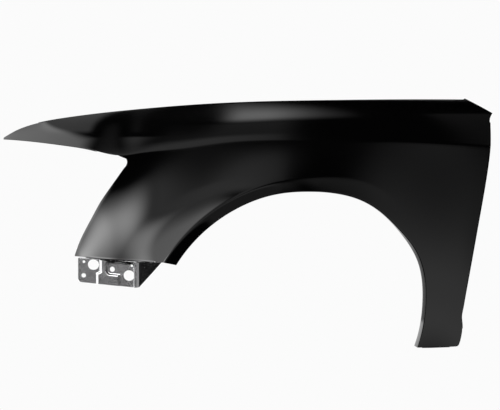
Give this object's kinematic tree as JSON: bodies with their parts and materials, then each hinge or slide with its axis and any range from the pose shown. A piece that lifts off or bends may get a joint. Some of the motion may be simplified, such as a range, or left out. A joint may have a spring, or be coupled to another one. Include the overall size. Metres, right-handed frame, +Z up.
{
  "type": "car fender",
  "caption": "Left front fender of a car: pressed, primed steel panel with wheel arch, headlamp notch, folded bolting flanges and a welded bumper bracket.",
  "frame": {"origin": "underside of the ledge beside the bonnet, next to its second bolt from the front, where the panel rests on the wing rail", "axes": "+X rearward along the car, +Y inboard towards the car's middle, +Z up"},
  "size_m": [1.3775, 0.29, 0.6797],
  "materials": {
    "fender_panel": "semi-gloss black primer",
    "bumper_bracket": "bare zinc-coated sheet, satin"
  },
  "bodies": {
    "root": {"fender_panel": "fender_panel", "bumper_bracket": "bumper_bracket"}
  },
  "joints": []
}
